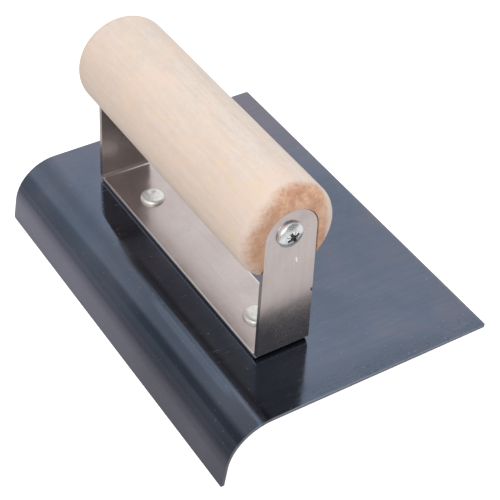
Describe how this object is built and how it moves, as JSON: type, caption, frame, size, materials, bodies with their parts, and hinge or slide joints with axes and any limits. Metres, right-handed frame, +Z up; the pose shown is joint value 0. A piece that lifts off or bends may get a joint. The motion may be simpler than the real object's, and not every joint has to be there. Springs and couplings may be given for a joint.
{
  "type": "concrete hand edger",
  "caption": "Hand edger for concrete: flat steel blade with one long edge curled down to round a slab's edge, strip bracket riveted on top, round wooden handle across its legs.",
  "frame": {"origin": "on the blade's flat working face (its underside), under the handle's centreline, halfway along the blade", "axes": "+Z up, away from the concrete, towards the handle; +Y along the blade and the handle; +X towards the straight free edge, so the curled lip is at -X"},
  "size_m": [0.1019, 0.15, 0.0889],
  "materials": {
    "blued_steel": "blued sheet, semi-gloss, finely brushed",
    "satin_steel": "satin",
    "handle_wood": "bare, sanded",
    "screw_zinc": "bright zinc plate",
    "rivet_metal": "peened, matt"
  },
  "bodies": {
    "root": {"blade": "blued_steel", "bracket": "satin_steel", "handle": "handle_wood", "front_screw": "screw_zinc", "rear_screw": "screw_zinc", "front_rivet": "rivet_metal", "rear_rivet": "rivet_metal"}
  },
  "joints": []
}
